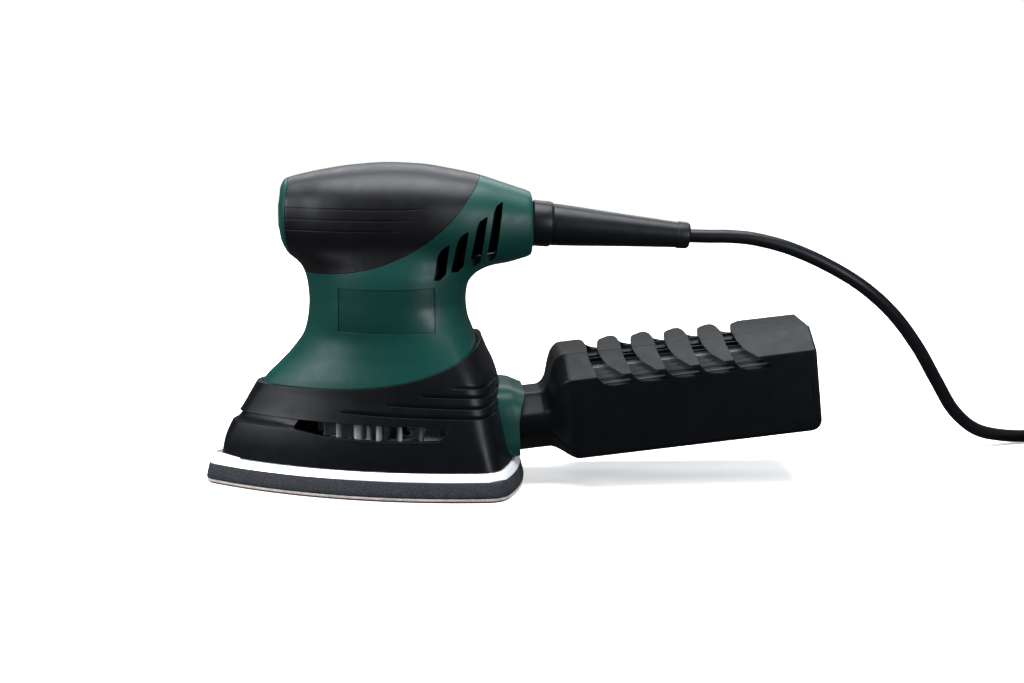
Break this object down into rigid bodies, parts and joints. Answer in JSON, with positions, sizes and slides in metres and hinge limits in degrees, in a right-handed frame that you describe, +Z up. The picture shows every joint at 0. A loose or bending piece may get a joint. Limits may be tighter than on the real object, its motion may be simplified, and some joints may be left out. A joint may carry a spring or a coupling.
{
  "type": "detail mouse sander",
  "caption": "Iron-shaped palm sander with an orbiting plate, upright motor housing with soft grip, slide-off dust box and mains cord.",
  "frame": {"origin": "where the motor axis meets the sole, on the sanding sheet's face", "axes": "+X back along the tool towards the dust box and cord, +Z up along the motor axis, -Z out of the sole"},
  "size_m": [0.5182, 0.1637, 0.1477],
  "materials": {
    "green": "satin",
    "soft_grip": "matte",
    "panel": "satin",
    "black_plastic": "satin",
    "box_plastic": "satin",
    "steel": "satin",
    "nickel": "polished",
    "lamination": "matte",
    "copper": "satin",
    "brass": "satin",
    "phenolic": "matte",
    "carbon": "matte",
    "capacitor": "gloss",
    "ivory": "satin",
    "cord_rubber": "matte",
    "rubber": "matte",
    "fan_plastic": "satin",
    "cast_zinc": "matte",
    "plate_white": "satin",
    "foam": "matte",
    "hook": "matte",
    "abrasive": "matte",
    "filter_paper": "matte"
  },
  "bodies": {
    "housing": {"housing_left": "green", "housing_right": "green", "grip_left": "soft_grip", "grip_right": "soft_grip", "front_cap": "green", "name_plate": "panel", "housing_screws": "steel", "skirt": "black_plastic", "skirt_screws": "steel", "exhaust_collar": "green", "switch_body": "black_plastic", "stator_core": "lamination", "field_coils": "copper", "bearing_bridge": "black_plastic", "lower_bearing": "steel", "upper_bearing": "steel", "bearing_bush": "rubber", "brush_carrier": "phenolic", "brush_holders": "brass", "carbon_brushes": "carbon", "brush_springs": "steel", "suppressor": "capacitor", "terminal_block": "ivory", "cord_clamp": "black_plastic", "clamp_screws": "steel", "strain_relief": "cord_rubber", "cord_tube": "cord_rubber", "cord_coil": "cord_rubber", "cord_tail": "cord_rubber", "plug_body": "cord_rubber", "plug_pins": "nickel", "flex_feet": "rubber"},
    "rotor": {"shaft": "steel", "armature_core": "lamination", "armature_winding": "copper", "commutator": "brass", "fan": "fan_plastic", "eccentric": "cast_zinc", "pad_screw": "steel"},
    "pad": {"base_plate": "plate_white", "eccentric_bearing": "steel", "bearing_clip": "steel", "foot_inserts": "steel", "foot_screws": "steel", "foam_pad": "foam", "hook_layer": "hook", "sanding_sheet": "abrasive"},
    "rocker": {"rocker": "black_plastic"},
    "dust_box": {"dust_box_shell": "box_plastic", "spigot_seal": "rubber", "filter_pleats": "filter_paper", "filter_frame": "box_plastic", "door_pin": "steel"},
    "dust_door": {"dust_door": "box_plastic"}
  },
  "joints": [
    {"name": "motor_spin", "type": "hinge", "parent": "housing", "child": "rotor", "pos_m": [0, 0, 0.08], "axis": [0, 0, 1], "continuous": true},
    {"name": "pad_orbit", "type": "hinge", "parent": "rotor", "child": "pad", "pos_m": [0.0007, 0, 0.0165], "axis": [0, 0, 1], "continuous": true, "deforming": ["flex_feet"]},
    {"name": "rocker_tilt", "type": "hinge", "parent": "housing", "child": "rocker", "pos_m": [-0.041, 0, 0.123], "axis": [0, 1, 0], "range_deg": [0, 12]},
    {"name": "box_slide", "type": "slide", "parent": "housing", "child": "dust_box", "axis": [0.9945, 0, 0.1045], "range_m": [0, 0.03]},
    {"name": "door_hinge", "type": "hinge", "parent": "dust_box", "child": "dust_door", "pos_m": [0.19157, 0, 0.0294], "axis": [0, 1, 0], "range_deg": [0, 95]}
  ],
  "couplings": [
    {"joint": "pad_orbit", "follows": "motor_spin", "ratio": -1}
  ]
}
